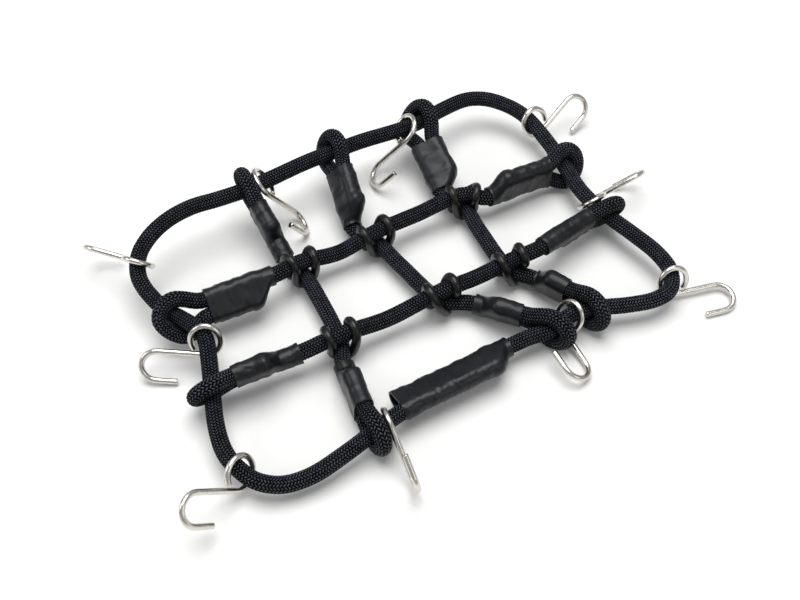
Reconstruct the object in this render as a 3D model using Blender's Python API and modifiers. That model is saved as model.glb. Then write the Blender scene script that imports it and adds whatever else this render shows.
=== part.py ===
"""Elastic luggage net: braided cord, shrink-tubed folded ends, rubber rings and bent wire hooks.

Lengths inside this script are millimetres; mesh data is written in metres. X runs along the net's
long side, Y across it and Z up, with Z = 0 the surface that the net lies on.
"""
import math

import bmesh
import bpy
from mathutils import Matrix, Vector, geometry

MM = 0.001
UP = Vector((0.0, 0.0, 1.0))

# Driving dimensions
CORD_RADIUS = 1.5
GAP = 0.3
TUBE_WALL = 0.4
RING_STOCK_RADIUS = 0.65
RING_OUT = 3.05
WIRE_RADIUS = 0.5
HOOK_EYE_HALF_LENGTH = 3.0
HOOK_EYE_HALF_WIDTH = 3.0
HOOK_SHANK = 8.5
HOOK_BEND_RADIUS = 2.8
HOOK_RETURN = 3.8
HOOK_EYE_PLAY = 22.0
HOOK_EYE_HANG = 0.3

# Worked out from them
CORD_PITCH = 2 * CORD_RADIUS + GAP
HALF_PITCH = CORD_PITCH / 2
LOOP_PITCH = CORD_PITCH + 0.3
TUBE_BORE_RADIUS = CORD_RADIUS + GAP + 0.1
RING_PITCH = CORD_RADIUS + RING_STOCK_RADIUS + GAP + 0.05
RING_HALF_WIDTH = RING_PITCH + 0.25
FOLD_BLEND = 6.0

CROSS_Z = 3.3
LONG_Z = CROSS_Z + CORD_PITCH

# Joining sleeve: its axis between its two mouths, and the way from the front to the back strand
SLEEVE_LEFT = Vector((-14.0, -21.8, 4.0))
SLEEVE_RIGHT = Vector((9.4, -21.5, 4.3))
SLEEVE_LEAN = 25.0
FRONT_STRAND_END = 19.2
BACK_STRAND_END = 0.9

# Folded cord ends: where each goes round the perimeter cord, and how it lies (degrees, mm)
FOLD_COLUMNS = ("name", "x", "y", "z", "loop_heading", "tube_heading", "pitch", "loop_roll",
                "tube_roll", "tail_side", "tube_from", "tail_to", "tube_to")
FOLD_ROWS = (
    ("top_1", -18.7, 31.1, 10.0, -88, -86, -20, 4, 4, 1, 4.2, 9.6, 15.2),
    ("top_2", 0.0, 32.6, 9.5, -96, -99, -17, -25, -33, 1, 4.4, 12.2, 16.0),
    ("top_3", 19.4, 32.5, 8.5, -100, -94, -15, -40, -72, 1, 5.2, 12.4, 15.6),
    ("bottom_1", -19.9, -24.5, 4.5, 92, 82, 0, 4, 4, 1, 4.4, 11.0, 15.2),
    ("bottom_2", 18.2, -21.1, 4.5, 115, 132, 0, 5, -20, 1, 6.2, 10.6, 15.4),
    ("bottom_3", 26.7, -20.5, 4.5, 100, 118, 0, 7, -11, 1, 5.4, 8.8, 12.2),
    ("left_1", -40.9, 11.5, 6.6, 0, -2, -2, -45, -55, -1, 5.4, 14.4, 18.6),
    ("left_2", -41.3, -4.3, 5.6, 5, -5, 4, 21, 21, 1, 4.2, 10.2, 16.6),
    ("right_1", 41.6, 11.1, 4.9, 180, 180, 5, 28, 0, 1, 4.2, 14.4, 17.8),
    ("right_2", 41.7, -2.8, 4.9, 180, 190, 2, -18, -18, -1, 4.2, 10.0, 16.6),
)

# Where the cords cross, the long cords lying over the cross cords
CROSSING_COLUMNS = ("name", "x", "y")
CROSSING_ROWS = (
    ("1_1", -16.3, 13.2), ("2_1", -0.4, 13.0), ("3_1", 19.1, 13.3),
    ("1_2", -16.8, -5.0), ("2_2", 4.0, -5.1), ("3_2", 19.0, -5.1),
)

# Perimeter cord between its sleeve ends, clockwise seen from above
PERIMETER_COLUMNS = ("x", "y", "z")
PERIMETER_ROWS = (
    (-16.6, -23.8, 4.6), (-19.9, -24.5, 4.5), (-26.2, -25.7, 4.0), (-32.9, -26.4, 3.4),
    (-38.0, -25.6, 3.6), (-41.5, -23.2, 4.2), (-43.2, -20.0, 4.6), (-44.0, -16.2, 4.6),
    (-43.4, -11.2, 4.9), (-41.3, -4.3, 5.6), (-39.6, 0.8, 6.7), (-38.6, 4.9, 7.5),
    (-39.3, 7.8, 7.3), (-40.9, 11.5, 6.6), (-42.8, 14.9, 6.5), (-44.5, 22.0, 7.9),
    (-43.0, 26.0, 9.2), (-40.1, 28.4, 10.2), (-35.8, 30.3, 10.8), (-30.5, 31.3, 10.8),
    (-24.8, 31.1, 10.4), (-18.7, 31.1, 10.0), (-14.8, 31.4, 10.0), (-6.0, 32.3, 9.8),
    (0.0, 32.6, 9.5), (6.4, 32.7, 9.3), (14.1, 32.3, 8.9), (19.4, 32.5, 8.5),
    (25.9, 34.0, 7.9), (31.7, 34.8, 7.3), (34.5, 34.2, 7.0), (36.9, 32.7, 6.8),
    (39.9, 29.2, 6.3), (41.6, 25.5, 5.7), (42.2, 17.6, 4.9), (41.6, 11.1, 4.9),
    (40.9, 3.9, 4.9), (41.7, -2.8, 4.9), (43.6, -10.1, 5.0), (44.9, -15.8, 5.0),
    (44.8, -20.5, 4.8), (42.5, -23.8, 4.4), (38.8, -24.4, 4.3), (33.2, -23.0, 4.4),
    (26.7, -20.5, 4.5), (22.6, -20.2, 4.8), (18.2, -21.1, 4.5), (13.4, -20.5, 4.3),
)

# Cross and long cords between their folded ends; crossing rows are filled in from the crossings
CORD_PLANS = (
    ("cross_cord_1", "top_1", ("1_1", (-16.1, 5.4, 3.3), "1_2"), "bottom_1", CROSS_Z),
    ("cross_cord_2", "top_2", ("2_1", (1.0, 5.4, 3.3), "2_2"), "bottom_2", CROSS_Z),
    ("cross_cord_3", "top_3", ("3_1", (18.6, 5.4, 3.3), "3_2"), "bottom_3", CROSS_Z),
    ("long_cord_1", "left_1", ("1_1", (-8.6, 12.8, 4.6), "2_1", (9.2, 13.7, 5.2), "3_1"),
     "right_1", LONG_Z),
    ("long_cord_2", "left_2", ("1_2", (-7.2, -5.1, 4.6), "2_2", (11.2, -5.2, 5.6), "3_2"),
     "right_2", LONG_Z),
)

# Wire hooks: eye centre on the perimeter cord, heading and pitch of the shank and lean of the
# bend (degrees: 0 down, 90 flat to the right of the shank, 180 up), and how far it is pulled out
HOOK_COLUMNS = ("name", "x", "y", "z", "heading", "pitch", "bend_lean", "slack")
HOOK_ROWS = (
    ("hook_1", -42.9, 24.8, 9.0, 141, 12, 33, 0.0),
    ("hook_2", -38.5, 4.5, 7.4, 151, 6, -40, 0.0),
    ("hook_3", -43.0, -20.6, 4.6, 180, 43, -50, 0.0),
    ("hook_4", -17.0, -23.9, 4.6, -92, -32, 172, 0.5),
    ("hook_5", 22.7, -20.3, 4.8, -89, -7, 116, 0.0),
    ("hook_6", 44.0, -22.5, 4.8, -13, 0, 82, 0.2),
    ("hook_7", 40.9, 0.6, 4.9, -13, 28, -38, 0.1),
    ("hook_8", 42.0, 23.8, 5.6, 18, 23, 40, 0.6),
    ("hook_9", 16.2, 32.3, 8.7, 160, -47, -90, -0.2),
    ("hook_10", -15.3, 31.4, 10.0, -5, -57, 86, -0.3),
)

CORD_COLOUR = (0.022, 0.024, 0.030)
TUBE_COLOUR = (0.035, 0.036, 0.040)
RUBBER_COLOUR = (0.012, 0.012, 0.014)
WIRE_COLOUR = (0.78, 0.76, 0.72)


def rows(columns, values):
    """Give each row of a table as a dictionary with its column names."""
    return [dict(zip(columns, row)) for row in values]


def direction(heading, pitch=0.0):
    """Unit vector from a heading about Z and a pitch above the surface, in degrees."""
    turn, rise = math.radians(heading), math.radians(pitch)
    return Vector((math.cos(turn) * math.cos(rise), math.sin(turn) * math.cos(rise), math.sin(rise)))


def rolled(axis, roll):
    """Unit vector square to the axis: upwards at a roll of 0, turned about the axis by the roll."""
    upright = (UP - axis * UP.dot(axis)).normalized()
    return Matrix.Rotation(math.radians(roll), 3, axis) @ upright


def ease(value):
    """Smooth step from 0 to 1."""
    value = min(max(value, 0.0), 1.0)
    return value * value * (3.0 - 2.0 * value)


def smooth_route(points, closed=False, turn=22.0, longest=5.5):
    """Read a smooth curve through the points, thinned to a point for each bend or longest step."""
    count = len(points)
    fine = []
    for i in range(count if closed else count - 1):
        if closed:
            p0, p1, p2, p3 = (points[(i + k) % count] for k in (-1, 0, 1, 2))
        else:
            p1, p2 = points[i], points[i + 1]
            p0 = points[i - 1] if i else p1 * 2 - p2
            p3 = points[i + 2] if i + 2 < count else p2 * 2 - p1
        spans = [max((b - a).length, 0.01) ** 0.5 for a, b in ((p0, p1), (p1, p2), (p2, p3))]
        start = ((p1 - p0) / spans[0] - (p2 - p0) / (spans[0] + spans[1]) + (p2 - p1) / spans[1])
        finish = ((p2 - p1) / spans[1] - (p3 - p1) / (spans[1] + spans[2]) + (p3 - p2) / spans[2])
        start, finish = start * spans[1], finish * spans[1]
        steps = max(4, int((p2 - p1).length / 0.4))
        for k in range(steps):
            t = k / steps
            fine.append(p1 * (2 * t**3 - 3 * t**2 + 1) + start * (t**3 - 2 * t**2 + t)
                        + p2 * (3 * t**2 - 2 * t**3) + finish * (t**3 - t**2))
    if not closed:
        fine.append(points[-1].copy())
    kept, heading, run = [fine[0]], (fine[1] - fine[0]).normalized(), 0.0
    for a, b in zip(fine, fine[1:]):
        step = b - a
        run += step.length
        if math.degrees(heading.angle(step)) > turn or run > longest:
            kept.append(a if run - step.length > 0.5 else b)
            heading, run = step.normalized(), 0.0
    if not closed:
        if (kept[-1] - fine[-1]).length < 0.6:
            kept.pop()
        kept.append(fine[-1])
    elif (kept[-1] - kept[0]).length < 0.4:
        kept.pop()
    return kept


class Fold:
    """A cord end folded round the perimeter cord and laid back beside itself."""

    def __init__(self, row, tangent):
        self.row = row
        self.centre = Vector((row["x"], row["y"], row["z"]))
        self.side = row["tail_side"]
        self.tangent = tangent
        along, across = self.along(0), self.across(0)
        square = abs(tangent.dot(along.cross(across)))
        self.loop_half = LOOP_PITCH * math.sqrt(1 - tangent.dot(along) ** 2) / square
        self.track = [self.centre.copy()]
        for k in range(80):
            self.track.append(self.track[-1] + self.along(k * 0.25 + 0.125) * 0.25)

    def along(self, s):
        part = ease(s / FOLD_BLEND)
        heading = self.row["loop_heading"]
        heading += (self.row["tube_heading"] - heading) * part
        return direction(heading, self.row["pitch"])

    def across(self, s):
        roll = self.row["loop_roll"]
        roll += (self.row["tube_roll"] - roll) * ease(s / FOLD_BLEND)
        return rolled(self.along(s), roll)

    def half_width(self, s):
        return self.loop_half + (HALF_PITCH - self.loop_half) * ease(s / FOLD_BLEND)

    def axis(self, s):
        place = s / 0.25
        k = min(int(place), len(self.track) - 2)
        return self.track[k].lerp(self.track[k + 1], place - k)

    def strand(self, s, side):
        return self.axis(s) + self.across(s) * (self.half_width(s) * side)

    def route(self):
        """Points from the cut end, round the perimeter cord and in to the end of the tube."""
        row = self.row
        near = [5.0, 4.0, 3.0, 2.0, 1.0]
        tail = [self.strand(s, self.side)
                for s in [row["tail_to"], (row["tail_to"] + FOLD_BLEND) / 2, FOLD_BLEND] + near]
        turn = []
        for angle in range(0, 181, 20):
            out, over = math.sin(math.radians(angle)), math.cos(math.radians(angle))
            way = self.across(0) * (over * self.side) - self.along(0) * out
            turn.append(self.centre + way * (LOOP_PITCH / math.sqrt(1 - way.dot(self.tangent) ** 2)))
        main = [self.strand(s, -self.side)
                for s in near[::-1] + [FOLD_BLEND, (row["tube_to"] + FOLD_BLEND) / 2, row["tube_to"] + 0.5]]
        return tail + turn + main

    def tube_stations(self):
        """Stations of the shrink tube: middle, way across, half width there and axis."""
        row = self.row
        step_at = row["tail_to"] + 0.4
        marks = [row["tube_from"], row["tube_from"] + 0.8, row["tube_from"] + 2.0,
                 step_at, step_at + 1.0, step_at + 2.2, row["tube_to"]]
        stations = []
        for s in marks:
            over = ease((s - step_at) / 2.2)
            middle = self.axis(s) - self.across(s) * (self.side * self.half_width(s) * over)
            stations.append((middle, self.across(s), self.half_width(s) * (1 - over), self.along(s)))
        return stations


def sleeve_frame():
    axis = (SLEEVE_RIGHT - SLEEVE_LEFT).normalized()
    over = UP.cross(axis).normalized()
    return axis, Matrix.Rotation(math.radians(-SLEEVE_LEAN), 3, axis) @ over


def sleeve_strand(s, side):
    axis, over = sleeve_frame()
    return SLEEVE_LEFT + axis * s + over * (HALF_PITCH * side)


def perimeter_route():
    length = (SLEEVE_RIGHT - SLEEVE_LEFT).length
    front = [sleeve_strand(s, -1) for s in (FRONT_STRAND_END, 10.0, 2.0)]
    back = [sleeve_strand(s, 1) for s in (length - 2.0, 10.0, BACK_STRAND_END)]
    return front + [Vector(row) for row in PERIMETER_ROWS] + back


def sleeve_stations():
    axis, over = sleeve_frame()
    length = (SLEEVE_RIGHT - SLEEVE_LEFT).length
    step_at = FRONT_STRAND_END + 0.4
    stations = []
    for s in (0.0, 5.0, 12.0, step_at, step_at + 1.2, step_at + 2.6, length):
        part = ease((s - step_at) / 2.6)
        middle = SLEEVE_LEFT + axis * s + over * (HALF_PITCH * part)
        stations.append((middle, over, HALF_PITCH * (1 - part), axis))
    return stations


def make_material(name, colour, roughness, metallic):
    material = bpy.data.materials.new(name)
    material.use_nodes = True
    shader = material.node_tree.nodes["Principled BSDF"]
    shader.inputs["Base Color"].default_value = (*colour, 1.0)
    shader.inputs["Roughness"].default_value = roughness
    shader.inputs["Metallic"].default_value = metallic
    return material


def make_wire(name, points, radius, resolution, material, parts, closed=False):
    """A round cord or wire along the points, as a curve with a bevel and filled caps."""
    data = bpy.data.curves.new(name, "CURVE")
    data.dimensions = "3D"
    data.bevel_depth = radius * MM
    data.bevel_resolution = resolution
    data.use_fill_caps = not closed
    spline = data.splines.new("POLY")
    spline.points.add(len(points) - 1)
    for item, point in zip(spline.points, points):
        item.co = (*(point * MM), 1.0)
    spline.use_cyclic_u = closed
    spline.use_smooth = True
    data.materials.append(material)
    body = bpy.data.objects.new(name, data)
    parts.objects.link(body)
    return body


def rest_on_surface(body, parts):
    """Make a curve a mesh, and press flat what reaches below the surface."""
    bpy.context.view_layer.update()
    evaluated = body.evaluated_get(bpy.context.evaluated_depsgraph_get())
    mesh = bpy.data.meshes.new_from_object(evaluated)
    name = body.name
    bpy.data.objects.remove(body)
    work = bmesh.new()
    work.from_mesh(mesh)
    bmesh.ops.remove_doubles(work, verts=work.verts, dist=0.00001)
    for vertex in work.verts:
        vertex.co.z = max(vertex.co.z, 0.0)
    work.to_mesh(mesh)
    work.free()
    pressed = bpy.data.objects.new(name, mesh)
    parts.objects.link(pressed)
    return pressed


def make_tube(name, stations, material, parts, sides=12):
    """A shrink tube: an open skin over one or two strands, given its wall by Solidify."""
    work = bmesh.new()
    loops = []
    for middle, over, half, axis in stations:
        beside = axis.cross(over).normalized()
        loop = []
        for k in range(sides):
            angle = math.radians((k + 0.5) * 360 / sides)
            shift = half if math.sin(angle) > 0 else -half
            point = middle + over * (math.sin(angle) * TUBE_BORE_RADIUS + shift)
            point = point + beside * (math.cos(angle) * TUBE_BORE_RADIUS)
            loop.append(work.verts.new(point * MM))
        loops.append(loop)
    for one, two in zip(loops, loops[1:]):
        for k in range(sides):
            j = (k + 1) % sides
            work.faces.new((one[k], one[j], two[j], two[k]))
    bmesh.ops.recalc_face_normals(work, faces=work.faces)
    first = work.faces[:][0]
    outward = first.calc_center_median() - stations[0][0] * MM
    if first.normal.dot(outward) < 0:
        bmesh.ops.reverse_faces(work, faces=work.faces)
    mesh = bpy.data.meshes.new(name)
    work.to_mesh(mesh)
    work.free()
    mesh.materials.append(material)
    mesh.shade_smooth()
    body = bpy.data.objects.new(name, mesh)
    parts.objects.link(body)
    wall = body.modifiers.new("wall", "SOLIDIFY")
    wall.thickness = TUBE_WALL * MM
    wall.offset = 1.0
    wall.use_even_offset = True
    return body


def station_on(route, place, distance):
    """Point and direction on a route, so far along it from its point nearest to the place."""
    gaps = [(geometry.intersect_point_line(place, a, b)[0] - place).length
            if 0 <= geometry.intersect_point_line(place, a, b)[1] <= 1 else (a - place).length
            for a, b in zip(route, route[1:])]
    at = gaps.index(min(gaps))
    foot = geometry.intersect_point_line(place, route[at], route[at + 1])[0]
    step = 1 if distance > 0 else -1
    following = route[at + 1:] if step > 0 else route[at::-1]
    left, here = abs(distance), foot
    for point in following:
        leg = point - here
        if leg.length >= left:
            return here + leg.normalized() * left, leg.normalized()
        left -= leg.length
        here = point


def ring_points(cross_route, long_route, cross_centre, long_centre):
    """A rubber ring saddled over a crossing: over the long cord and under the cross cord."""
    lobes = []
    for route, centre, sign, lift in (
            (long_route, long_centre, 1, 1), (cross_route, cross_centre, -1, -1),
            (long_route, long_centre, -1, 1), (cross_route, cross_centre, 1, -1)):
        place, way = station_on(route, centre, sign * RING_OUT)
        lobes.append((place, way, lift))
    spread = [max(0.0, 3.0 - math.degrees(lobes[k][1].angle(lobes[(k + 1) % 4][1])) / 27)
              for k in range(4)]
    points = []
    for k, (place, way, lift) in enumerate(lobes):
        beside = UP.cross(way).normalized()
        rise = way.cross(beside) * lift
        for angle in range(-90, 91, 30):
            turn = math.radians(angle)
            point = place + beside * (math.sin(turn) * RING_HALF_WIDTH) + rise * (math.cos(turn) * RING_PITCH)
            if abs(angle) == 90:
                point += way * spread[k if angle > 0 else k - 1]
            points.append(point)
    return points


def hook_points(row, perimeter):
    """Wire hook: an eye round the perimeter cord, a straight shank and a J bend."""
    centre, tangent = station_on(perimeter, Vector((row["x"], row["y"], row["z"])), 0.0)
    shank = direction(row["heading"], row["pitch"])
    bend = rolled(shank, 180 - row["bend_lean"])
    square = (tangent - shank * tangent.dot(shank)).normalized().cross(shank)
    if square.dot(bend - UP * 0.6) < 0:
        square = -square
    turn = math.degrees(math.atan2(square.cross(bend).dot(shank), square.dot(bend)))
    turn = min(max(turn, -HOOK_EYE_PLAY), HOOK_EYE_PLAY)
    eye = Matrix.Rotation(math.radians(turn), 3, shank) @ square
    centre = centre + shank * row["slack"] + eye * HOOK_EYE_HANG
    points = []
    for angle in range(390, 89, -30):
        turn = math.radians(angle)
        points.append(centre + shank * (math.cos(turn) * HOOK_EYE_HALF_LENGTH)
                      + eye * (math.sin(turn) * HOOK_EYE_HALF_WIDTH))
    root = points[-1]
    for angle in range(-90, 91, 30):
        turn = math.radians(angle)
        ahead = shank * (HOOK_SHANK + math.cos(turn) * HOOK_BEND_RADIUS)
        points.append(root + ahead + bend * (HOOK_BEND_RADIUS * (1 + math.sin(turn))))
    points.append(root + shank * (HOOK_SHANK - HOOK_RETURN) + bend * (2 * HOOK_BEND_RADIUS))
    return points


def build():
    for item in list(bpy.data.objects):
        bpy.data.objects.remove(item)
    parts = bpy.data.collections.new("cargo_net")
    bpy.context.scene.collection.children.link(parts)
    cord = make_material("braided_cord", CORD_COLOUR, 0.75, 0.0)
    tube = make_material("shrink_tube", TUBE_COLOUR, 0.55, 0.0)
    rubber = make_material("rubber", RUBBER_COLOUR, 0.3, 0.0)
    wire = make_material("nickel_wire", WIRE_COLOUR, 0.25, 1.0)

    perimeter = smooth_route(perimeter_route(), turn=14.0)
    body = make_wire("perimeter_cord", perimeter, CORD_RADIUS, 2, cord, parts)
    rest_on_surface(body, parts)

    folds = {}
    for row in rows(FOLD_COLUMNS, FOLD_ROWS):
        place = Vector((row["x"], row["y"], row["z"]))
        folds[row["name"]] = Fold(row, station_on(perimeter, place, 0.0)[1])
    crossings = {row["name"]: row for row in rows(CROSSING_COLUMNS, CROSSING_ROWS)}
    routes = {}
    for name, first, middle, last, height in CORD_PLANS:
        points = folds[first].route()
        for item in middle:
            if isinstance(item, str):
                item = (crossings[item]["x"], crossings[item]["y"], height)
            points.append(Vector(item))
        points += reversed(folds[last].route())
        routes[name] = smooth_route(points, turn=13.0)
        body = make_wire(name, routes[name], CORD_RADIUS, 2, cord, parts)
        rest_on_surface(body, parts)
    for name, fold in folds.items():
        make_tube("tube_" + name, fold.tube_stations(), tube, parts)
    make_tube("joining_sleeve", sleeve_stations(), tube, parts)

    for name, row in crossings.items():
        column, line = name.split("_")
        points = ring_points(routes["cross_cord_" + column], routes["long_cord_" + line],
                             Vector((row["x"], row["y"], CROSS_Z)), Vector((row["x"], row["y"], LONG_Z)))
        points = smooth_route(points, closed=True, turn=30.0)
        make_wire("ring_" + name, points, RING_STOCK_RADIUS, 1, rubber, parts, closed=True)

    for row in rows(HOOK_COLUMNS, HOOK_ROWS):
        make_wire(row["name"], hook_points(row, perimeter), WIRE_RADIUS, 1, wire, parts)


build()
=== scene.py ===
"""Elastic luggage net with its braid, shrink tubes, rubber rings and wire hooks.

Lengths in the tables and the shaping functions are millimetres, in the frame's own axes: X along
the net's long side, Y across it and Z up from the surface that it lies on. Meshes are written in
metres.
"""
import math

import bpy
import numpy as np
from mathutils import Matrix, Vector, noise


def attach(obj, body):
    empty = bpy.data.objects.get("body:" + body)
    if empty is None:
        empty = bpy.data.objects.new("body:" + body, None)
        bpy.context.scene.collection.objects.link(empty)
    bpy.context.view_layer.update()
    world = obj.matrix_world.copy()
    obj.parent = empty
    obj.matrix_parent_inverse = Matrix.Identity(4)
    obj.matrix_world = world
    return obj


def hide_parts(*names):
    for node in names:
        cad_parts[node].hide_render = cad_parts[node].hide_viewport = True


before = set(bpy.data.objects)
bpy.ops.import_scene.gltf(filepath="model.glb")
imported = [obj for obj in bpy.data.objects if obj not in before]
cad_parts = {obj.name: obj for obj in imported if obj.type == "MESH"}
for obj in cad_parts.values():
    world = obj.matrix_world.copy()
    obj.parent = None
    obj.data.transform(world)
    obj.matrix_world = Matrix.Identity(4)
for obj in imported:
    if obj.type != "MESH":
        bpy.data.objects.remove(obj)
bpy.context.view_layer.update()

bl_info = {
    "name": "Elastic luggage net",
    "version": (1, 0, 0),
    "blender": (4, 5, 0),
    "location": "3D View > Sidebar > Net",
    "description": "Braided cord net with shrink tubes, rubber rings and wire hooks",
    "category": "Add Mesh",
}

MM = 0.001
UP = Vector((0.0, 0.0, 1.0))

# Braid: vertices across a column, rings along a pick, and how far a pick leans across its column
COLUMN_SIDES = 3
PICK_RINGS = 3
PICK_SLANT = 0.7

# Skins: clearance to the surface, sewing distance (metres), and sides and steps of the round bars
FLOOR_GAP = 0.02
SEWN_WITHIN = 0.000002
TUBE_SIDES, TUBE_STEP = 56, 0.22
RING_SIDES = 16
WIRE_SIDES, WIRE_STEP = 14, 0.22
BORE_PLAY = 0.06

# How far a hook's eye hangs off the middle of the cord
EYE_HANG = 0.35

# Camera, in metres
CAMERA_AT = (-0.05566, -0.10089, 0.16383)
CAMERA_LOOKS_AT = (-0.0018, 0.0004, 0.0)

# Lights: place and width in metres, and share of the main light's power
LIGHT_COLUMNS = ("name", "place", "size", "share")
LIGHT_ROWS = (
    ("overhead", (0.05, 0.12, 0.62), 0.55, 1.0),
    ("window", (-0.55, 0.25, 0.38), 0.35, 0.22),
    ("front", (0.25, -0.55, 0.42), 0.35, 0.12),
)
SKY_COLOUR = (0.97, 0.98, 1.0, 1.0)
SKY_STRENGTH = 0.40

# How the cords lie against each other
FOLD_BLEND = 6.0
FOLD_STEP = 0.25
CROSS_Z = 3.0
LONG_Z = 6.0

# Joining sleeve: its axis between its two mouths, and the way from the front to the back strand
SLEEVE_LEFT = Vector((-14.0, -21.8, 4.0))
SLEEVE_RIGHT = Vector((9.4, -21.5, 4.3))
SLEEVE_LEAN = 25.0
FRONT_STRAND_END = 19.2
BACK_STRAND_END = 0.9

# Folded cord ends: where each goes round the border cord, and how it lies (degrees, mm)
FOLD_COLUMNS = ("name", "x", "y", "z", "loop_heading", "tube_heading", "pitch", "loop_roll",
                "tube_roll", "tail_side", "tube_from", "tail_to", "tube_to")
FOLD_ROWS = (
    ("top_1", -18.7, 31.1, 10.0, -88, -86, -20, 4, 4, 1, 4.2, 9.6, 15.2),
    ("top_2", 0.0, 32.6, 9.5, -96, -99, -17, -25, -33, 1, 4.4, 12.2, 16.0),
    ("top_3", 19.4, 32.5, 8.5, -100, -94, -15, -40, -72, 1, 5.2, 12.4, 15.6),
    ("bottom_1", -19.9, -24.5, 4.5, 92, 82, 0, 4, 4, 1, 4.4, 11.0, 15.2),
    ("bottom_2", 18.2, -21.1, 4.5, 115, 132, 0, 5, -20, 1, 6.2, 10.6, 15.4),
    ("bottom_3", 26.7, -20.5, 4.5, 100, 118, 0, 7, -11, 1, 5.4, 8.8, 12.2),
    ("left_1", -40.9, 11.5, 6.6, 0, -2, -2, -45, -55, -1, 5.4, 14.4, 18.6),
    ("left_2", -41.3, -4.3, 5.6, 5, -5, 4, 21, 21, 1, 4.2, 10.2, 16.6),
    ("right_1", 41.6, 11.1, 4.9, 180, 180, 5, 28, 0, 1, 4.2, 14.4, 17.8),
    ("right_2", 41.7, -2.8, 4.9, 180, 190, 2, -18, -18, -1, 4.2, 10.0, 16.6),
)

# Where the cords cross, the long cords lying over the cross cords
CROSSING_COLUMNS = ("name", "x", "y")
CROSSING_ROWS = (
    ("1_1", -16.3, 13.2), ("2_1", -0.4, 13.0), ("3_1", 19.1, 13.3),
    ("1_2", -16.8, -5.0), ("2_2", 4.0, -5.1), ("3_2", 19.0, -5.1),
)

# Border cord between its sleeve ends, clockwise seen from above
BORDER_COLUMNS = ("x", "y", "z")
BORDER_ROWS = (
    (-16.6, -23.8, 4.6), (-19.9, -24.5, 4.5), (-26.2, -25.7, 4.0), (-32.9, -26.4, 3.4),
    (-38.0, -25.6, 3.6), (-41.5, -23.2, 4.2), (-43.2, -20.0, 4.6), (-44.0, -16.2, 4.6),
    (-43.4, -11.2, 4.9), (-41.3, -4.3, 5.6), (-39.6, 0.8, 6.7), (-38.6, 4.9, 7.5),
    (-39.3, 7.8, 7.3), (-40.9, 11.5, 6.6), (-42.8, 14.9, 6.5), (-44.5, 22.0, 7.9),
    (-43.0, 26.0, 9.2), (-40.1, 28.4, 10.2), (-35.8, 30.3, 10.8), (-30.5, 31.3, 10.8),
    (-24.8, 31.1, 10.4), (-18.7, 31.1, 10.0), (-14.8, 31.4, 10.0), (-6.0, 32.3, 9.8),
    (0.0, 32.6, 9.5), (6.4, 32.7, 9.3), (14.1, 32.3, 8.9), (19.4, 32.5, 8.5),
    (25.9, 34.0, 7.9), (31.7, 34.8, 7.3), (34.5, 34.2, 7.0), (36.9, 32.7, 6.8),
    (39.9, 29.2, 6.3), (41.6, 25.5, 5.7), (42.2, 17.6, 4.9), (41.6, 11.1, 4.9),
    (40.9, 3.9, 4.9), (41.7, -2.8, 4.9), (43.6, -10.1, 5.0), (44.9, -15.8, 5.0),
    (44.8, -20.5, 4.8), (42.5, -23.8, 4.4), (38.8, -24.4, 4.3), (33.2, -23.0, 4.4),
    (26.7, -20.5, 4.5), (22.6, -20.2, 4.8), (18.2, -21.1, 4.5), (13.4, -20.5, 4.3),
)

# Cross and long cords: name, first fold, crossings and points between the folds, last fold, and
# the cord's height where it crosses
CORD_PLANS = (
    ("cross_cord_1", "top_1", ("1_1", (-16.1, 5.4, 3.3), "1_2"), "bottom_1", CROSS_Z),
    ("cross_cord_2", "top_2", ("2_1", (1.0, 5.4, 3.3), "2_2"), "bottom_2", CROSS_Z),
    ("cross_cord_3", "top_3", ("3_1", (18.6, 5.4, 3.3), "3_2"), "bottom_3", CROSS_Z),
    ("long_cord_1", "left_1", ("1_1", (-8.6, 12.8, 4.6), "2_1", (9.2, 13.7, 5.2), "3_1"),
     "right_1", LONG_Z),
    ("long_cord_2", "left_2", ("1_2", (-7.2, -5.1, 4.6), "2_2", (11.2, -5.2, 5.6), "3_2"),
     "right_2", LONG_Z),
)

# Wire hooks: eye centre on the border cord, heading and pitch of the shank and lean of the bend
# (degrees: 0 down, 90 flat to the right of the shank, 180 up), and how far it is pulled outwards
HOOK_COLUMNS = ("name", "x", "y", "z", "heading", "pitch", "bend_lean", "slack")
HOOK_ROWS = (
    ("hook_1", -42.9, 24.8, 9.0, 141, 12, 33, 0.0),
    ("hook_2", -38.5, 4.5, 7.4, 151, 6, -40, 0.0),
    ("hook_3", -43.0, -20.6, 4.6, 180, 43, -50, 0.0),
    ("hook_4", -17.0, -23.9, 4.6, -92, -32, 172, 0.5),
    ("hook_5", 22.7, -20.3, 4.8, -89, -7, 116, 0.0),
    ("hook_6", 44.0, -22.5, 4.8, -13, 0, 82, 0.2),
    ("hook_7", 40.9, 0.6, 4.9, -13, 28, -38, 0.1),
    ("hook_8", 42.0, 23.8, 5.6, 18, 23, 40, 0.6),
    ("hook_9", 16.2, 32.3, 8.7, 160, -47, -90, -0.2),
    ("hook_10", -15.3, 31.4, 10.0, -5, -57, 86, -0.3),
)

# How each tube has shrunk: swell over the cut cord end and depth of the creases (mm), the seed of
# its own shape, and how long it takes to narrow past the cut end (mm)
SKIN_COLUMNS = ("name", "swell", "crease", "seed", "taper")
SKIN_ROWS = (
    ("top_1", 0.10, 0.12, 3, 2.0), ("top_2", 0.30, 0.14, 8, 3.4), ("top_3", 0.15, 0.12, 5, 4.4),
    ("bottom_1", 0.15, 0.08, 2, 2.6), ("bottom_2", 0.05, 0.09, 11, 3.4),
    ("bottom_3", 0.05, 0.08, 6, 3.0), ("left_1", 0.20, 0.13, 4, 3.2),
    ("left_2", 0.35, 0.14, 9, 2.6), ("right_1", 0.25, 0.15, 12, 3.0),
    ("right_2", 0.10, 0.13, 7, 3.0), ("sleeve", 0.25, 0.16, 10, 3.4),
)


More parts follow.
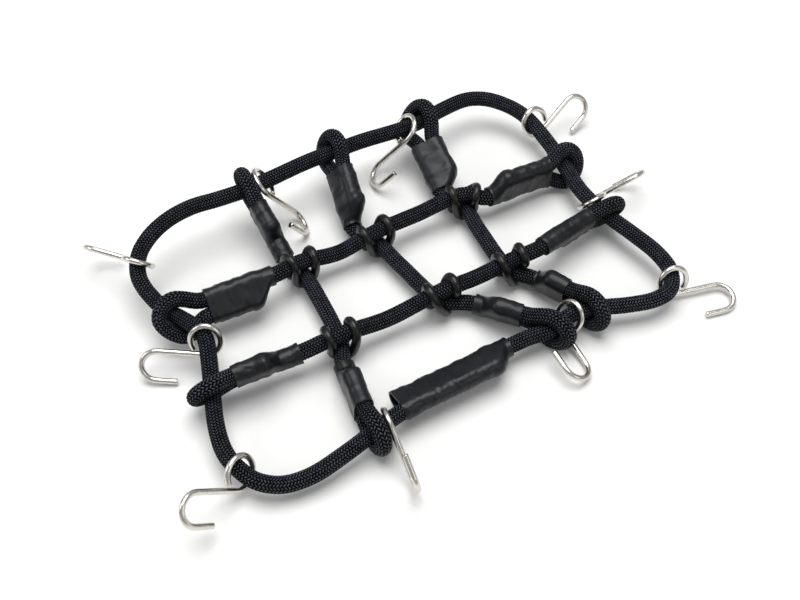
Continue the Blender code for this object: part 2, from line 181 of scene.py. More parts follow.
def rows(columns, values):
    """Give each row of a table as a dictionary with its column names."""
    return [dict(zip(columns, row)) for row in values]


# ---------------------------------------------------------------- directions, routes and frames


def direction(heading, pitch=0.0):
    """Unit vector from a heading about Z and a pitch above the surface, in degrees."""
    turn, rise = math.radians(heading), math.radians(pitch)
    flat = math.cos(rise)
    return Vector((math.cos(turn) * flat, math.sin(turn) * flat, math.sin(rise)))


def rolled(axis, roll):
    """Unit vector square to the axis: upwards at a roll of 0, turned about the axis by the roll."""
    upright = (UP - axis * UP.dot(axis)).normalized()
    return Matrix.Rotation(math.radians(roll), 3, axis) @ upright


def ease(value):
    """Smooth step from 0 to 1."""
    value = min(max(value, 0.0), 1.0)
    return value * value * (3.0 - 2.0 * value)


def smooth_route(points, closed=False):
    """Read a smooth curve closely through the points."""
    count = len(points)
    fine = []
    for i in range(count if closed else count - 1):
        if closed:
            p0, p1, p2, p3 = (points[(i + k) % count] for k in (-1, 0, 1, 2))
        else:
            p1, p2 = points[i], points[i + 1]
            p0 = points[i - 1] if i else p1 * 2 - p2
            p3 = points[i + 2] if i + 2 < count else p2 * 2 - p1
        spans = [max((b - a).length, 0.01) ** 0.5 for a, b in ((p0, p1), (p1, p2), (p2, p3))]
        start = ((p1 - p0) / spans[0] - (p2 - p0) / (spans[0] + spans[1]) + (p2 - p1) / spans[1])
        finish = ((p2 - p1) / spans[1] - (p3 - p1) / (spans[1] + spans[2]) + (p3 - p2) / spans[2])
        start, finish = start * spans[1], finish * spans[1]
        steps = max(4, int((p2 - p1).length / 0.2))
        for k in range(steps):
            t = k / steps
            fine.append(p1 * (2 * t**3 - 3 * t**2 + 1) + start * (t**3 - 2 * t**2 + t)
                        + p2 * (3 * t**2 - 2 * t**3) + finish * (t**3 - t**2))
    fine.append((points[0] if closed else points[-1]).copy())
    return fine


def evened(route, step, relax=0, closed=False):
    """Points at even steps along a route, as an array, eased by averaging neighbours."""
    line = np.array([tuple(p) for p in route])
    for again in range(2):
        gaps = np.linalg.norm(np.diff(line, axis=0), axis=1)
        along = np.concatenate(([0.0], np.cumsum(gaps)))
        count = max(4, int(round(along[-1] / step)))
        marks = np.linspace(0.0, along[-1], count + 1)
        line = np.stack([np.interp(marks, along, line[:, k]) for k in range(3)], axis=1)
        if again:
            break
        for turn in range(relax):
            if closed:
                line[-1] = line[0]
                line = line * 0.5 + (np.roll(line[:-1], 1, 0)[np.r_[0:len(line) - 1, 0]]
                                     + np.roll(line[:-1], -1, 0)[np.r_[0:len(line) - 1, 0]]) * 0.25
            else:
                line[1:-1] = line[1:-1] * 0.5 + (line[:-2] + line[2:]) * 0.25
    return line


def carried_frames(line, closed=False):
    """Tangent and two square directions at each point of a line, carried along without twist."""
    ahead = np.gradient(line, axis=0)
    if closed:
        ahead[0] = ahead[-1] = line[1] - line[-2]
    ahead /= np.linalg.norm(ahead, axis=1)[:, None]
    first = np.cross(ahead[0], (0.0, 0.0, 1.0))
    if np.linalg.norm(first) < 0.1:
        first = np.cross(ahead[0], (0.0, 1.0, 0.0))
    beside = [first / np.linalg.norm(first)]
    for way in ahead[1:]:
        side = beside[-1] - way * np.dot(beside[-1], way)
        beside.append(side / np.linalg.norm(side))
    beside = np.array(beside)
    if closed:
        first_over = np.cross(ahead[0], beside[0])
        slip = math.atan2(np.dot(beside[-1], first_over), np.dot(beside[-1], beside[0]))
        share = np.linspace(0.0, -slip, len(line))
        over = np.cross(ahead, beside)
        beside = beside * np.cos(share)[:, None] + over * np.sin(share)[:, None]
    return ahead, beside, np.cross(ahead, beside)


def station_on(route, place, distance):
    """Point and direction on a route, so far along it from its point nearest to the place."""
    gaps = [(a - place).length for a in route]
    at = gaps.index(min(gaps))
    step = 1 if distance >= 0 else -1
    left, here = abs(distance), route[at]
    for point in (route[at + 1:] if step > 0 else route[at - 1::-1]):
        leg = point - here
        if leg.length >= left:
            return here + leg.normalized() * left, leg.normalized()
        left -= leg.length
        here = point
    return here, (route[at] - route[at - 1]).normalized()


# ---------------------------------------------------------------- how the cords are folded and led


class Fold:
    """A cord end folded round the border cord and laid back beside itself."""

    def __init__(self, row, tangent, pitch):
        self.row = row
        self.centre = Vector((row["x"], row["y"], row["z"]))
        self.side = row["tail_side"]
        self.tangent = tangent
        self.pitch = pitch
        along, across = self.along(0), self.across(0)
        square = abs(tangent.dot(along.cross(across)))
        self.loop_half = min(pitch * math.sqrt(1 - tangent.dot(along) ** 2) / square, 1.16 * pitch)
        self.track = [self.centre.copy()]
        for k in range(80):
            halfway = k * FOLD_STEP + FOLD_STEP / 2
            self.track.append(self.track[-1] + self.along(halfway) * FOLD_STEP)

    def along(self, s):
        """Direction of the folded pair, so far from the border cord."""
        part = ease(s / FOLD_BLEND)
        heading = self.row["loop_heading"]
        heading += (self.row["tube_heading"] - heading) * part
        return direction(heading, self.row["pitch"])

    def across(self, s):
        """Direction from one strand of the pair to the other."""
        roll = self.row["loop_roll"]
        roll += (self.row["tube_roll"] - roll) * ease(s / FOLD_BLEND)
        return rolled(self.along(s), roll)

    def half_width(self, s):
        """Distance of each strand from the pair's middle."""
        return self.loop_half + (self.pitch / 2 - self.loop_half) * ease(s / (FOLD_BLEND - 1.0))

    def axis(self, s):
        """Middle of the pair."""
        place = s / FOLD_STEP
        k = min(int(place), len(self.track) - 2)
        return self.track[k].lerp(self.track[k + 1], place - k)

    def strand(self, s, side):
        """Point on the strand at this side of the pair."""
        return self.axis(s) + self.across(s) * (self.half_width(s) * side)

    def route(self):
        """Points from the cut end, round the border cord and in to the end of the tube."""
        row = self.row
        near = [5.0, 4.0, 3.0, 2.0, 1.0]
        tail = [self.strand(s, self.side)
                for s in [row["tail_to"], (row["tail_to"] + FOLD_BLEND) / 2, FOLD_BLEND] + near]
        turn = []
        for angle in range(0, 181, 20):
            out, over = math.sin(math.radians(angle)), math.cos(math.radians(angle))
            way = self.across(0) * (over * self.side) - self.along(0) * out
            reach = self.pitch / math.sqrt(1 - way.dot(self.tangent) ** 2)
            turn.append(self.centre + way * min(reach, 1.2 * self.pitch))
        far = [FOLD_BLEND, (row["tube_to"] + FOLD_BLEND) / 2, row["tube_to"] + 0.5]
        main = [self.strand(s, -self.side) for s in near[::-1] + far]
        return tail + turn + main

    def tube_section(self, s, swell, taper):
        """Middle, way across, half width and axis of the tube here, and how far it swells."""
        row = self.row
        over = ease((s - row["tail_to"] - 0.1) / taper)
        middle = self.axis(s) - self.across(s) * (self.side * self.half_width(s) * over)
        lump = swell * math.exp(-((s - row["tail_to"] + 0.4) / 0.9) ** 2)
        return middle, self.across(s), self.half_width(s) * (1 - over), self.along(s), lump


def sleeve_frame():
    """Direction of the joining sleeve, and from its front strand to its back strand."""
    axis = (SLEEVE_RIGHT - SLEEVE_LEFT).normalized()
    over = UP.cross(axis).normalized()
    return axis, Matrix.Rotation(math.radians(-SLEEVE_LEAN), 3, axis) @ over


def sleeve_strand(s, side, pitch):
    """Point on one of the two strands in the sleeve."""
    axis, over = sleeve_frame()
    return SLEEVE_LEFT + axis * s + over * (pitch / 2 * side)


def sleeve_section(s, pitch, swell, taper):
    """Middle, way across, half width, axis and swelling of the sleeve here."""
    axis, over = sleeve_frame()
    part = ease((s - FRONT_STRAND_END - 0.1) / taper)
    middle = SLEEVE_LEFT + axis * s + over * (pitch / 2 * part)
    lump = swell * math.exp(-((s - FRONT_STRAND_END + 0.4) / 1.0) ** 2)
    lump += 0.5 * swell * math.exp(-((s - BACK_STRAND_END) / 1.2) ** 2)
    return middle, over, pitch / 2 * (1 - part), axis, lump


def border_route(pitch):
    """Route of the border cord, from its front end in the sleeve round to its back end."""
    run = (SLEEVE_RIGHT - SLEEVE_LEFT).length
    front = [sleeve_strand(s, -1, pitch) for s in (FRONT_STRAND_END, 10.0, 2.0)]
    back = [sleeve_strand(s, 1, pitch) for s in (run - 2.0, 10.0, BACK_STRAND_END)]
    return smooth_route(front + [Vector(row) for row in BORDER_ROWS] + back)


def led_cords(pitch):
    """Routes of all the cords by name, with the folds and the crossings."""
    border = border_route(pitch)
    folds = {}
    for row in rows(FOLD_COLUMNS, FOLD_ROWS):
        place = Vector((row["x"], row["y"], row["z"]))
        folds[row["name"]] = Fold(row, station_on(border, place, 0.0)[1], pitch * 1.02)
    crossings = {row["name"]: row for row in rows(CROSSING_COLUMNS, CROSSING_ROWS)}
    routes = {"perimeter_cord": border}
    for name, first, middle, last, height in CORD_PLANS:
        points = folds[first].route()
        for item in middle:
            if isinstance(item, str):
                item = (crossings[item]["x"], crossings[item]["y"], height)
            points.append(Vector(item))
        points += reversed(folds[last].route())
        routes[name] = smooth_route(points)
    return routes, folds, crossings


# ---------------------------------------------------------------- meshes


def deselect():
    """Leave nothing selected."""
    for item in bpy.context.selected_objects:
        item.select_set(False)


def finished(body, name, material, slot, *nodes):
    """Name a piece, give it its finish, and let it stand for its CAD nodes on the one body."""
    body.name = name
    body.data.name = name
    body.data.materials.clear()
    body.data.materials.append(material)
    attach(body, "root")
    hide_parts(*nodes)
    return body


def above_floor(rings):
    """The same rings with no point lower than the surface."""
    rings[:, :, 2] = np.maximum(rings[:, :, 2], FLOOR_GAP)
    return rings


def skinned(rings):
    """Roll a grid primitive onto rings of points (stations x sides), and sew its seam and poles."""
    stations, sides = rings.shape[:2]
    deselect()
    bpy.ops.mesh.primitive_grid_add(x_subdivisions=sides, y_subdivisions=stations - 1, size=2.0)
    body = bpy.context.object
    flat = np.zeros(len(body.data.vertices) * 3)
    body.data.vertices.foreach_get("co", flat)
    flat = flat.reshape(-1, 3)
    i = np.rint((flat[:, 0] + 1.0) / 2.0 * sides).astype(int)
    j = np.rint((flat[:, 1] + 1.0) / 2.0 * (stations - 1)).astype(int)
    body.data.vertices.foreach_set("co", (rings[j, i % sides] * MM).ravel())
    bpy.ops.object.mode_set(mode="EDIT")
    bpy.ops.mesh.select_all(action="SELECT")
    bpy.ops.mesh.remove_doubles(threshold=SEWN_WITHIN)
    bpy.ops.mesh.normals_make_consistent(inside=False)
    bpy.ops.object.mode_set(mode="OBJECT")
    bpy.ops.object.shade_smooth()
    return body


def scaled_uv(body, around, along):
    """Turn the grid's own map into counts of strands round and picks along."""
    layer = body.data.uv_layers.active.data
    values = np.zeros(len(layer) * 2)
    layer.foreach_get("uv", values)
    values = values.reshape(-1, 2) * (around, along)
    layer.foreach_set("uv", values.ravel())


def braided(line, radius, relief, columns):
    """Rings of points of a braided cord: slanted picks in columns that lean to and fro."""
    ahead, beside, over = carried_frames(line)
    count, sides = len(line), columns * COLUMN_SIDES
    turn = np.arange(sides) / sides * 2 * math.pi
    column = np.arange(sides) // COLUMN_SIDES
    place = (np.arange(sides) % COLUMN_SIDES) / COLUMN_SIDES
    slant = np.where(column % 2 == 0, place, 1.5 - place)
    station = np.arange(count)
    phase = station[:, None] / PICK_RINGS + PICK_SLANT * slant[None, :]
    raised = np.cos(phase * 2 * math.pi) * 0.5 + 0.5
    raised = raised * np.sin(place * math.pi)[None, :] ** 0.5 - 0.5
    wander = np.array([noise.noise(Vector((k * 0.03, 3.1, radius))) for k in station])
    size = radius * (1.0 + 0.02 * wander)[:, None] + relief * raised
    rings = (line[:, None, :] + beside[:, None, :] * (np.cos(turn)[None, :] * size)[:, :, None]
             + over[:, None, :] * (np.sin(turn)[None, :] * size)[:, :, None])
    ends = []
    for at, sign in ((0, -1), (-1, 1)):
        for share, out in ((0.0, 0.12), (0.75, 0.08)):
            ends.append(line[at][None, :] + ahead[at] * sign * out
                        + (rings[at] - line[at][None, :]) * share)
    rings = np.concatenate((ends[0][None], ends[1][None], rings, ends[3][None], ends[2][None]))
    return above_floor(rings)


def shrunk(sections, bore, wrinkle, seed):
    """Rings of points of a shrink tube's inner face, drawn over its strands and creased."""
    turn = (np.arange(TUBE_SIDES) + 0.5) / TUBE_SIDES * 2 * math.pi
    rings = []
    for s, (middle, over, half, axis, lump) in sections:
        beside = axis.cross(over).normalized()
        ring = []
        for angle in turn:
            up, out = math.sin(angle), math.cos(angle)
            shift = half * up / math.sqrt(up * up + 0.05)
            waist = 1.0 - 0.10 * min(half, 1.0) * math.exp(-(up / 0.45) ** 2)
            point = middle + over * (up * bore + shift) + beside * (out * bore * waist)
            way = (over * up + beside * out).normalized()
            spot = Vector((point.x * 0.45 + seed * 7.3, point.y * 0.45, point.z * 0.45))
            fine = Vector((point.x * 1.3, point.y * 1.3 + seed * 3.7, point.z * 1.3))
            crease = noise.noise(spot) * 1.3 + noise.noise(fine) * 0.5
            ridge = abs(math.sin(s * 0.9 + 1.6 * noise.noise(spot) + angle * 0.5 + seed))
            crease += 0.7 * (1.0 - ridge) ** 2 - 0.15
            ring.append(tuple(point + way * (wrinkle * crease + lump * (0.5 + 0.5 * abs(up)))))
        rings.append(ring)
    return np.array(rings)


def round_bar(route, radius, sides, closed=False, step=0.3, relax=0):
    """Rings of points of a round bar along a route, drawn in to a pole at each cut end."""
    line = evened(route, step, relax, closed)
    ahead, beside, over = carried_frames(line, closed)
    turn = np.arange(sides) / sides * 2 * math.pi
    circle = (beside[:, None, :] * np.cos(turn)[None, :, None]
              + over[:, None, :] * np.sin(turn)[None, :, None]) * radius
    rings = line[:, None, :] + circle
    if closed:
        return rings
    ends = []
    for at, sign in ((0, -1), (-1, 1)):
        tip = line[at] + ahead[at] * sign * 0.1
        ends.append((tip[None, :] + circle[at] * 0.0, tip[None, :] + circle[at] * 0.72,
                     line[at][None, :] + ahead[at] * sign * 0.05 + circle[at] * 0.93))
    return np.concatenate((np.array(ends[0]), rings, np.array(ends[1][::-1])))


# ---------------------------------------------------------------- finishes


class Nodes:
    """A short way to add and link shader nodes."""

    def __init__(self, name):
        self.material = bpy.data.materials.new(name)
        self.material.use_nodes = True
        self.tree = self.material.node_tree
        self.shader = self.tree.nodes["Principled BSDF"]

    def put(self, value, socket):
        """Link a socket to another, or give it a value."""
        if isinstance(value, bpy.types.NodeSocket):
            self.tree.links.new(value, socket)
        elif value is not None:
            socket.default_value = value

    def math(self, operation, one, two=None, clamp=False):
        node = self.tree.nodes.new("ShaderNodeMath")
        node.operation = operation
        node.use_clamp = clamp
        self.put(one, node.inputs[0])
        self.put(two, node.inputs[1])
        return node.outputs[0]

    def coords(self, kind):
        return self.tree.nodes.new("ShaderNodeTexCoord").outputs[kind]

    def split(self, vector):
        node = self.tree.nodes.new("ShaderNodeSeparateXYZ")
        self.put(vector, node.inputs[0])
        return node.outputs

    def noise(self, vector, scale, detail=2.0, roughness=0.5):
        node = self.tree.nodes.new("ShaderNodeTexNoise")
        self.put(vector, node.inputs["Vector"])
        node.inputs["Scale"].default_value = scale
        node.inputs["Detail"].default_value = detail
        node.inputs["Roughness"].default_value = roughness
        return node.outputs["Fac"]

    def ramp(self, value, stops):
        node = self.tree.nodes.new("ShaderNodeValToRGB")
        self.put(value, node.inputs[0])
        while len(node.color_ramp.elements) < len(stops):
            node.color_ramp.elements.new(0.5)
        for element, (place, colour) in zip(node.color_ramp.elements, stops):
            element.position = place
            element.color = (*colour, 1.0)
        return node.outputs["Color"]

    def bump(self, height, strength, distance):
        node = self.tree.nodes.new("ShaderNodeBump")
        self.put(height, node.inputs["Height"])
        node.inputs["Strength"].default_value = strength
        node.inputs["Distance"].default_value = distance
        self.put(node.outputs["Normal"], self.shader.inputs["Normal"])

    def set(self, **values):
        """Set or link the shader's inputs by their names in small letters."""
        for name, value in values.items():
            self.put(value, self.shader.inputs[name.replace("_", " ").title()])


def tinted(colour, share):
    """The colour made darker or lighter."""
    return tuple(channel * share for channel in colour)


def braid_finish(colour):
    """Black yarn in slanted picks, with a painted highlight on each pick's crown and painted shade
    in the grooves.
    """
    n = Nodes("braided_cord")
    around, along, _ = n.split(n.coords("UV"))
    across = n.math("FRACT", around)
    parity = n.math("MODULO", n.math("FLOOR", around), 2.0)
    flipped = n.math("SUBTRACT", 1.5, across)
    slant = n.math("ADD", n.math("MULTIPLY", n.math("SUBTRACT", 1.0, parity), across),
                   n.math("MULTIPLY", parity, flipped))
    phase = n.math("ADD", along, n.math("MULTIPLY", slant, PICK_SLANT))
    wave = n.math("COSINE", n.math("MULTIPLY", phase, 2 * math.pi))
    pick = n.math("ADD", n.math("MULTIPLY", wave, 0.5), 0.5)
    groove = n.math("POWER", n.math("SINE", n.math("MULTIPLY", across, math.pi)), 0.6)
    height = n.math("MULTIPLY", pick, groove)
    spread = n.noise(n.coords("Object"), 900.0, 3.0)
    # Painted light: lit sets the base colour from painted shade in the grooves (a tenth of the yarn
    # colour) to a painted highlight on the crowns (eight times it)
    lit = n.math("MULTIPLY", height, n.math("ADD", spread, 0.35))
    tone = n.ramp(lit, ((0.10, tinted(colour, 0.1)), (0.42, colour), (0.78, tinted(colour, 8.0))))
    n.set(base_color=tone, roughness=n.math("SUBTRACT", 0.75, n.math("MULTIPLY", lit, 0.4)))
    n.put(n.math("MULTIPLY", lit, 0.42), n.shader.inputs["Specular IOR Level"])
    n.bump(height, 1.0, 0.00022)
    return n.material


def tube_finish(colour):
    """Matte charcoal shrink tube with a faint grain and a few pale scuffs."""
    n = Nodes("shrink_tube")
    place = n.coords("Object")
    grain = n.noise(place, 2600.0, 4.0, 0.6)
    cloud = n.noise(place, 170.0, 3.0)
    tone = n.ramp(cloud, ((0.3, tinted(colour, 0.75)), (0.7, tinted(colour, 1.3))))
    rough = n.math("MULTIPLY_ADD", cloud, 0.18)
    rough.node.inputs[2].default_value = 0.27
    n.set(base_color=tone, roughness=rough, metallic=0.0)
    n.shader.inputs["Specular IOR Level"].default_value = 0.3
    n.bump(n.math("ADD", n.math("MULTIPLY", grain, 0.35), cloud), 0.3, 0.00015)
    return n.material


def rubber_finish(colour):
    """Gloss black rubber, a little clouded by handling."""
    n = Nodes("rubber")
    place = n.coords("Object")
    cloud = n.noise(place, 420.0, 3.0)
    rough = n.math("MULTIPLY_ADD", cloud, 0.2)
    rough.node.inputs[2].default_value = 0.2
    n.shader.inputs["Specular IOR Level"].default_value = 0.36
    tone = n.ramp(cloud, ((0.35, tinted(colour, 0.8)), (0.75, tinted(colour, 1.5))))
    n.set(base_color=tone, roughness=rough, metallic=0.0)
    n.bump(n.noise(place, 1500.0, 3.0), 0.12, 0.00008)
    return n.material


def nickel_finish(colour):
    """Bright nickel plate on drawn wire, with faint draw marks."""
    n = Nodes("nickel_wire")
    place = n.coords("Object")
    marks = n.noise(place, 900.0, 4.0, 0.65)
    rough = n.math("MULTIPLY_ADD", marks, 0.22)
    rough.node.inputs[2].default_value = 0.12
    tone = n.ramp(marks, ((0.3, tinted(colour, 0.8)), (0.6, colour)))
    n.set(base_color=tone, roughness=rough, metallic=1.0)
    n.bump(marks, 0.1, 0.00005)
    return n.material


# ---------------------------------------------------------------- settings


def length(name, words, default):
    """A setting that is a length, in metres."""
    return bpy.props.FloatProperty(name=name, description=words, default=default, min=0.0, max=0.1,
                                   subtype="DISTANCE", unit="LENGTH", precision=5)


def colour(name, words, default):
    """A setting that is a colour."""
    return bpy.props.FloatVectorProperty(name=name, description=words, default=default, size=3,
                                         min=0.0, max=1.0, subtype="COLOR")


class NetCordSettings(bpy.types.PropertyGroup):
    diameter: length("Diameter", "Thickness of the elastic cord", 0.003)
    press: length("Press", "How far two cords press into each other where they touch", 0.00005)
    relief: length("Relief", "How far a pick of the braid stands up", 0.0001)
    pick: length("Pick", "Length of one pick of the braid along the cord", 0.00056)
    columns: bpy.props.IntProperty(name="Columns", description="Columns of picks round the cord",
                                   default=16, min=8, max=32)
    shade: colour("Colour", "Yarn of the braid", (0.0085, 0.0095, 0.0125))


class NetTubeSettings(bpy.types.PropertyGroup):
    wall: length("Wall", "Thickness of the shrunk wall", 0.00038)
    wrinkle: bpy.props.FloatProperty(name="Wrinkle", default=1.0, min=0.0, max=2.0,
                                     description="Strength of the creases and swellings")
    shade: colour("Colour", "Shrink tube", (0.0065, 0.0072, 0.0092))


class NetRingSettings(bpy.types.PropertyGroup):
    stock: length("Stock", "Thickness of the ring's own bar", 0.0017)
    press: length("Press", "How far the ring presses into the cords", 0.0002)
    out: length("Spread", "Distance from the crossing of the lobes over the long cord", 0.0023)
    under: length("Under", "Distance from the crossing of the lobes under the cross cord", 0.0014)
    shade: colour("Colour", "Rubber", (0.004, 0.004, 0.0048))


class NetHookSettings(bpy.types.PropertyGroup):
    wire: length("Wire", "Thickness of the wire", 0.0011)
    eye_length: length("Eye length", "Half the length of the eye along the shank", 0.0027)
    eye_width: length("Eye width", "Half the width of the eye", 0.003)
    shank: length("Shank", "Length of the straight shank", 0.0085)
    bend: length("Bend", "Radius of the bend", 0.00275)
    back: length("Return", "Length of the leg that comes back", 0.0037)
    play: bpy.props.FloatProperty(name="Play", description="How far the eye may lean off square",
                                  default=math.radians(28.0), subtype="ANGLE", unit="ROTATION")
    shade: colour("Colour", "Nickel plate", (0.72, 0.69, 0.63))


class NetStageSettings(bpy.types.PropertyGroup):
    floor: colour("Floor", "Plain surface under the net", (0.84, 0.84, 0.825))
    power: bpy.props.FloatProperty(name="Power", description="Strength of the main light",
                                   default=4.0, min=0.0, unit="POWER")
    lens: bpy.props.FloatProperty(name="Lens", description="Focal length of the camera",
                                  default=47.25, min=1.0, unit="CAMERA")


# ---------------------------------------------------------------- operators


def cord_pitch(context):
    """Distance between the middles of two cords that touch, in millimetres."""
    settings = context.scene.net_cord
    return (settings.diameter - settings.press) / MM


class NET_OT_stage(bpy.types.Operator):
    """Set out the floor, the lights and the camera"""
    bl_idname = "net.stage"
    bl_label = "Stage"

    def execute(self, context):
        settings = context.scene.net_stage
        deselect()
        bpy.ops.mesh.primitive_plane_add(size=4.0, location=(0.0, 0.0, 0.0))
        floor = context.object
        floor.name = "floor"
        n = Nodes("floor")
        n.set(base_color=(*settings.floor, 1.0), roughness=0.6, metallic=0.0)
        n.shader.inputs["Specular IOR Level"].default_value = 0.2
        floor.data.materials.append(n.material)
        for row in rows(LIGHT_COLUMNS, LIGHT_ROWS):
            bpy.ops.object.light_add(type="AREA", location=row["place"])
            light = context.object
            light.name = row["name"]
            light.data.shape = "DISK"
            light.data.size = row["size"]
            light.data.energy = settings.power * row["share"]
            light.rotation_euler = Vector(row["place"]).to_track_quat("Z", "Y").to_euler()
        world = bpy.data.worlds.new("studio")
        world.use_nodes = True
        sky = world.node_tree.nodes["Background"]
        sky.inputs["Color"].default_value = SKY_COLOUR
        sky.inputs["Strength"].default_value = SKY_STRENGTH
        context.scene.world = world
        context.scene.view_settings.view_transform = "Standard"
        bpy.ops.object.camera_add(location=CAMERA_AT)
        camera = context.object
        camera.name = "camera"
        camera.data.lens = settings.lens
        camera.data.sensor_width = 36.0
        camera.data.clip_start = 0.01
        look = Vector(CAMERA_LOOKS_AT) - Vector(CAMERA_AT)
        camera.rotation_euler = look.to_track_quat("-Z", "Y").to_euler()
        context.scene.camera = camera
        return {"FINISHED"}


class NET_OT_cords(bpy.types.Operator):
    """Lead and braid the border, cross and long cords"""
    bl_idname = "net.cords"
    bl_label = "Cords"

    def execute(self, context):
        settings = context.scene.net_cord
        radius = settings.diameter / 2 / MM
        finish = braid_finish(settings.shade)
        routes, _, _ = led_cords(cord_pitch(context))
        for name, route in routes.items():
            line = evened(route, settings.pick / PICK_RINGS / MM, relax=12)
            rings = braided(line, radius, settings.relief / MM, settings.columns)
            body = skinned(rings)
            scaled_uv(body, settings.columns, (len(rings) - 1) / PICK_RINGS)
            finished(body, name + "_braid", finish, "cord", name)
        return {"FINISHED"}


class NET_OT_tubes(bpy.types.Operator):
    """Shrink a tube over each folded end and the sleeve over the border cord's two ends"""
    bl_idname = "net.tubes"
    bl_label = "Shrink tubes"

    def execute(self, context):
        settings = context.scene.net_tube
        pitch = cord_pitch(context)
        bore = context.scene.net_cord.diameter / 2 / MM + BORE_PLAY
        strength = settings.wrinkle
        skins = {row["name"]: row for row in rows(SKIN_COLUMNS, SKIN_ROWS)}
        finish = tube_finish(settings.shade)
        _, folds, _ = led_cords(pitch)
        plans = []
        for name, fold in folds.items():
            skin = skins[name]
            start, stop = fold.row["tube_from"], fold.row["tube_to"]
            marks = np.linspace(start, stop, int((stop - start) / TUBE_STEP))
            plans.append(("tube_" + name, skin, [
                (s, fold.tube_section(s, skin["swell"] * strength, skin["taper"])) for s in marks]))
        run, skin = (SLEEVE_RIGHT - SLEEVE_LEFT).length, skins["sleeve"]
        marks = np.linspace(0.0, run, int(run / TUBE_STEP))
        plans.append(("joining_sleeve", skin, [
            (s, sleeve_section(s, pitch, skin["swell"] * strength, skin["taper"])) for s in marks]))
        for name, skin, sections in plans:
            body = skinned(shrunk(sections, bore, skin["crease"] * strength, skin["seed"]))
            wall = body.modifiers.new("wall", "SOLIDIFY")
            wall.thickness = settings.wall
            wall.offset = 1.0
            wall.use_even_offset = True
            bpy.ops.object.modifier_apply(modifier=wall.name)
            bpy.ops.object.shade_smooth_by_angle(angle=math.radians(50.0))
            finished(body, name + "_skin", finish, "tube", name)
        return {"FINISHED"}


class NET_OT_rings(bpy.types.Operator):
    """Saddle a rubber ring over each crossing"""
    bl_idname = "net.rings"
    bl_label = "Rubber rings"

    def execute(self, context):
        settings = context.scene.net_ring
        stock = settings.stock / 2 / MM
        pitch = context.scene.net_cord.diameter / 2 / MM + stock - settings.press / MM
        out, under = settings.out / MM, settings.under / MM
        finish = rubber_finish(settings.shade)
        routes, _, crossings = led_cords(cord_pitch(context))
        for name, row in crossings.items():
            column, line = name.split("_")
            cross, long = routes["cross_cord_" + column], routes["long_cord_" + line]
            below = Vector((row["x"], row["y"], CROSS_Z))
            above = Vector((row["x"], row["y"], LONG_Z))
            lobes = []
            for route, centre, reach, lift in ((long, above, out, 1), (cross, below, -under, -1),
                                               (long, above, -out, 1), (cross, below, under, -1)):
                place, way = station_on(route, centre, reach)
                lobes.append((place, way, lift))
            points = []
            for place, way, lift in lobes:
                beside = UP.cross(way).normalized()
                rise = way.cross(beside) * lift
                for angle in range(-80, 81, 20):
                    turn = math.radians(angle)
                    points.append(place + (beside * math.sin(turn) + rise * math.cos(turn)) * pitch)
            hoop = smooth_route(points, closed=True)
            rings = round_bar(hoop, stock, RING_SIDES, closed=True, relax=30)
            body = skinned_hoop(rings)
            finished(body, "ring_" + name + "_rubber", finish, "rubber", "ring_" + name)
        return {"FINISHED"}


def skinned_hoop(rings):
    """As skinned, for rings whose last is the first again: both seams are sewn."""
    rings = rings.copy()
    rings[-1] = rings[0]
    return skinned(above_floor(rings))


def hook_line(row, border, settings):
    """Wire hook: an eye round the border cord, a straight shank and a J bend."""
    eye_length, eye_width = settings.eye_length / MM, settings.eye_width / MM
    bend_radius, straight = settings.bend / MM, settings.shank / MM
    centre, tangent = station_on(border, Vector((row["x"], row["y"], row["z"])), 0.0)
    shank = direction(row["heading"], row["pitch"])
    bend = rolled(shank, 180 - row["bend_lean"])
    square = (tangent - shank * tangent.dot(shank)).normalized().cross(shank)
    if square.dot(bend - UP * 0.6) < 0:
        square = -square
    lean = math.atan2(square.cross(bend).dot(shank), square.dot(bend))
    lean = min(max(lean, -settings.play), settings.play)
    eye = Matrix.Rotation(lean, 3, shank) @ square
    centre = centre + shank * row["slack"] + eye * EYE_HANG
    points = []
    for angle in range(400, 89, -10):
        turn = math.radians(angle)
        points.append(centre + shank * (math.cos(turn) * eye_length)
                      + eye * (math.sin(turn) * eye_width))
    root = points[-1]
    for k in range(1, 8):
        points.append(root + shank * (straight * k / 8))
    for angle in range(-90, 91, 10):
        turn = math.radians(angle)
        ahead = shank * (straight + math.cos(turn) * bend_radius)
        points.append(root + ahead + bend * (bend_radius * (1 + math.sin(turn))))
    for k in range(1, 5):
        back = straight - settings.back / MM * k / 4
        points.append(root + shank * back + bend * (2 * bend_radius))
    return points


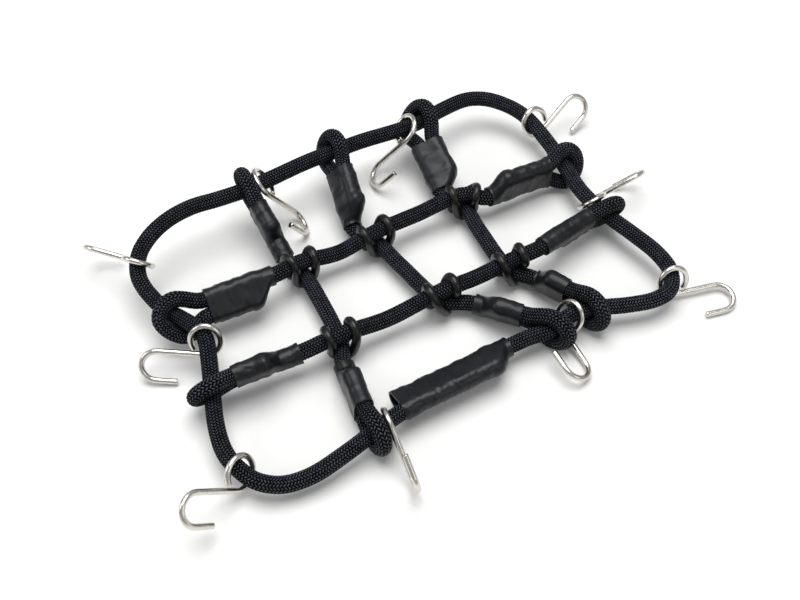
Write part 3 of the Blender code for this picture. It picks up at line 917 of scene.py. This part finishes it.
class NET_OT_hooks(bpy.types.Operator):
    """Bend the wire hooks round the border cord"""
    bl_idname = "net.hooks"
    bl_label = "Wire hooks"

    def execute(self, context):
        settings = context.scene.net_hook
        finish = nickel_finish(settings.shade)
        border = border_route(cord_pitch(context))
        for row in rows(HOOK_COLUMNS, HOOK_ROWS):
            line = smooth_route(hook_line(row, border, settings))
            rings = round_bar(line, settings.wire / 2 / MM, WIRE_SIDES, step=WIRE_STEP, relax=6)
            body = skinned(above_floor(rings))
            finished(body, row["name"] + "_wire", finish, "wire", row["name"])
        return {"FINISHED"}


class NET_PT_panel(bpy.types.Panel):
    """The net's settings, with a button for each group of pieces"""
    bl_idname = "NET_PT_panel"
    bl_label = "Luggage net"
    bl_space_type = "VIEW_3D"
    bl_region_type = "UI"
    bl_category = "Net"

    def draw(self, context):
        for operator, group, names in PANEL_ROWS:
            box = self.layout.box()
            for name in names:
                box.prop(getattr(context.scene, group), name)
            box.operator(operator)


PANEL_ROWS = (
    ("net.stage", "net_stage", ("floor", "power", "lens")),
    ("net.cords", "net_cord", ("diameter", "press", "relief", "pick", "columns", "shade")),
    ("net.tubes", "net_tube", ("wall", "wrinkle", "shade")),
    ("net.rings", "net_ring", ("stock", "press", "out", "under", "shade")),
    ("net.hooks", "net_hook",
     ("wire", "eye_length", "eye_width", "shank", "bend", "back", "play", "shade")),
)

SETTINGS = {
    "net_cord": NetCordSettings,
    "net_tube": NetTubeSettings,
    "net_ring": NetRingSettings,
    "net_hook": NetHookSettings,
    "net_stage": NetStageSettings,
}
CLASSES = (*SETTINGS.values(), NET_OT_stage, NET_OT_cords, NET_OT_tubes, NET_OT_rings, NET_OT_hooks,
           NET_PT_panel)


def register():
    """Add the settings, operators and panel."""
    for item in CLASSES:
        bpy.utils.register_class(item)
    for name, group in SETTINGS.items():
        setattr(bpy.types.Scene, name, bpy.props.PointerProperty(type=group))


def unregister():
    """Take them away again."""
    for name in SETTINGS:
        delattr(bpy.types.Scene, name)
    for item in reversed(CLASSES):
        bpy.utils.unregister_class(item)


def main():
    """Make the net."""
    deselect()
    register()
    bpy.ops.net.stage()
    bpy.ops.net.cords()
    bpy.ops.net.tubes()
    bpy.ops.net.rings()
    bpy.ops.net.hooks()
    deselect()
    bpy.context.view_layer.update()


if __name__ == "__main__":
    main()
